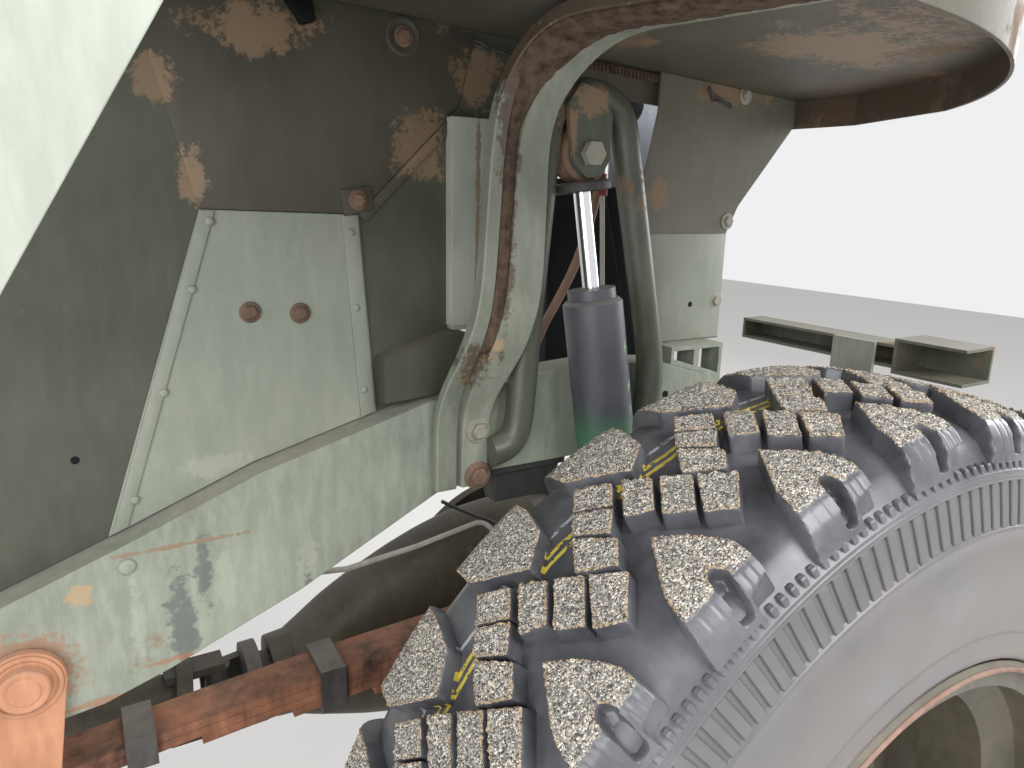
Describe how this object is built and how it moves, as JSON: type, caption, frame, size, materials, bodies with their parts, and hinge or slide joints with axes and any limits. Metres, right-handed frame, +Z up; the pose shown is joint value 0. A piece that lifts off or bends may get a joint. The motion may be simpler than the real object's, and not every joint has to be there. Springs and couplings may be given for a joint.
{
  "type": "front wheel station of an unarmed army 4x4 car",
  "caption": "Right front corner of a light 4x4: lugged tyre and wheel on a steering knuckle, driven axle half, leaf spring, shock absorber in a tube hoop, frame rail and wheel arch panels.",
  "frame": {"origin": "middle of the mounting face at the rear end of the frame rail", "axes": "+X forward along the vehicle, +Y inboard to its centre line, +Z up; the wheel's outer face looks along -Y"},
  "size_m": [1.222, 0.63, 1.1083],
  "materials": {
    "body_green": "matt olive green paint, dusty",
    "rail_green": "brushed-on green paint with dirt runs",
    "axle_green": "dirty green paint",
    "bracket_green": "green paint, brown dirt inside",
    "shock_blue": "dark blue-grey paint",
    "chrome_rod": "bright",
    "rusty_steel": "orange-brown rust",
    "dark_steel": "oily dark steel",
    "bright_steel": "worn zinc",
    "tyre_rubber": "satin black rubber",
    "black_rubber": "matt",
    "rim_olive": "olive paint, worn at the edge",
    "black_paint": "black paint"
  },
  "bodies": {
    "chassis": {"access_plate": "body_green", "arch_bracket": "bracket_green", "axle_ball": "dark_steel", "axle_case": "axle_green", "bay_panel": "body_green", "body_side": "body_green", "brake_pipe": "bright_steel", "bump_stop": "black_rubber", "bumper": "bracket_green", "bumper_bracket": "rail_green", "chassis_rail": "rail_green", "front_apron": "body_green", "front_hanger": "rail_green", "inner_wing": "body_green", "leaf_spring": "rusty_steel", "lower_gusset": "body_green", "pinion_flange": "dark_steel", "prop_shaft": "axle_green", "radiator_side": "black_paint", "rail_end_plate": "rail_green", "shackle_bolts": "rusty_steel", "shackle_plates": "rusty_steel", "shock_body": "shock_blue", "shock_bolts": "rusty_steel", "shock_gusset": "body_green", "shock_hoop": "body_green", "shock_rod": "chrome_rod", "spring_clips": "dark_steel", "spring_plate": "axle_green", "spring_seat": "axle_green", "u_bolts": "dark_steel", "universal_joint": "dark_steel", "wing_channel": "body_green", "wing_outrigger": "rail_green", "wing_top": "body_green"},
    "knuckle": {"swivel_housing": "axle_green", "king_pins": "dark_steel", "brake_backplate": "axle_green", "stub_axle": "dark_steel", "steering_arm": "axle_green"},
    "wheel": {"tyre": "tyre_rubber", "wheel_rim": "rim_olive", "wheel_disc": "rim_olive", "brake_drum": "dark_steel", "hub": "rim_olive", "wheel_nuts": "bright_steel", "hub_cap": "rim_olive"}
  },
  "joints": [
    {"name": "steer", "type": "hinge", "parent": "chassis", "child": "knuckle", "pos_m": [0.64, -0.1825, -0.151], "axis": [0, 0.1045, 0.9945], "range_deg": [-27, 27]},
    {"name": "wheel_spin", "type": "hinge", "parent": "knuckle", "child": "wheel", "pos_m": [0.64, -0.3075, -0.151], "axis": [0, 1, 0], "continuous": true}
  ]
}
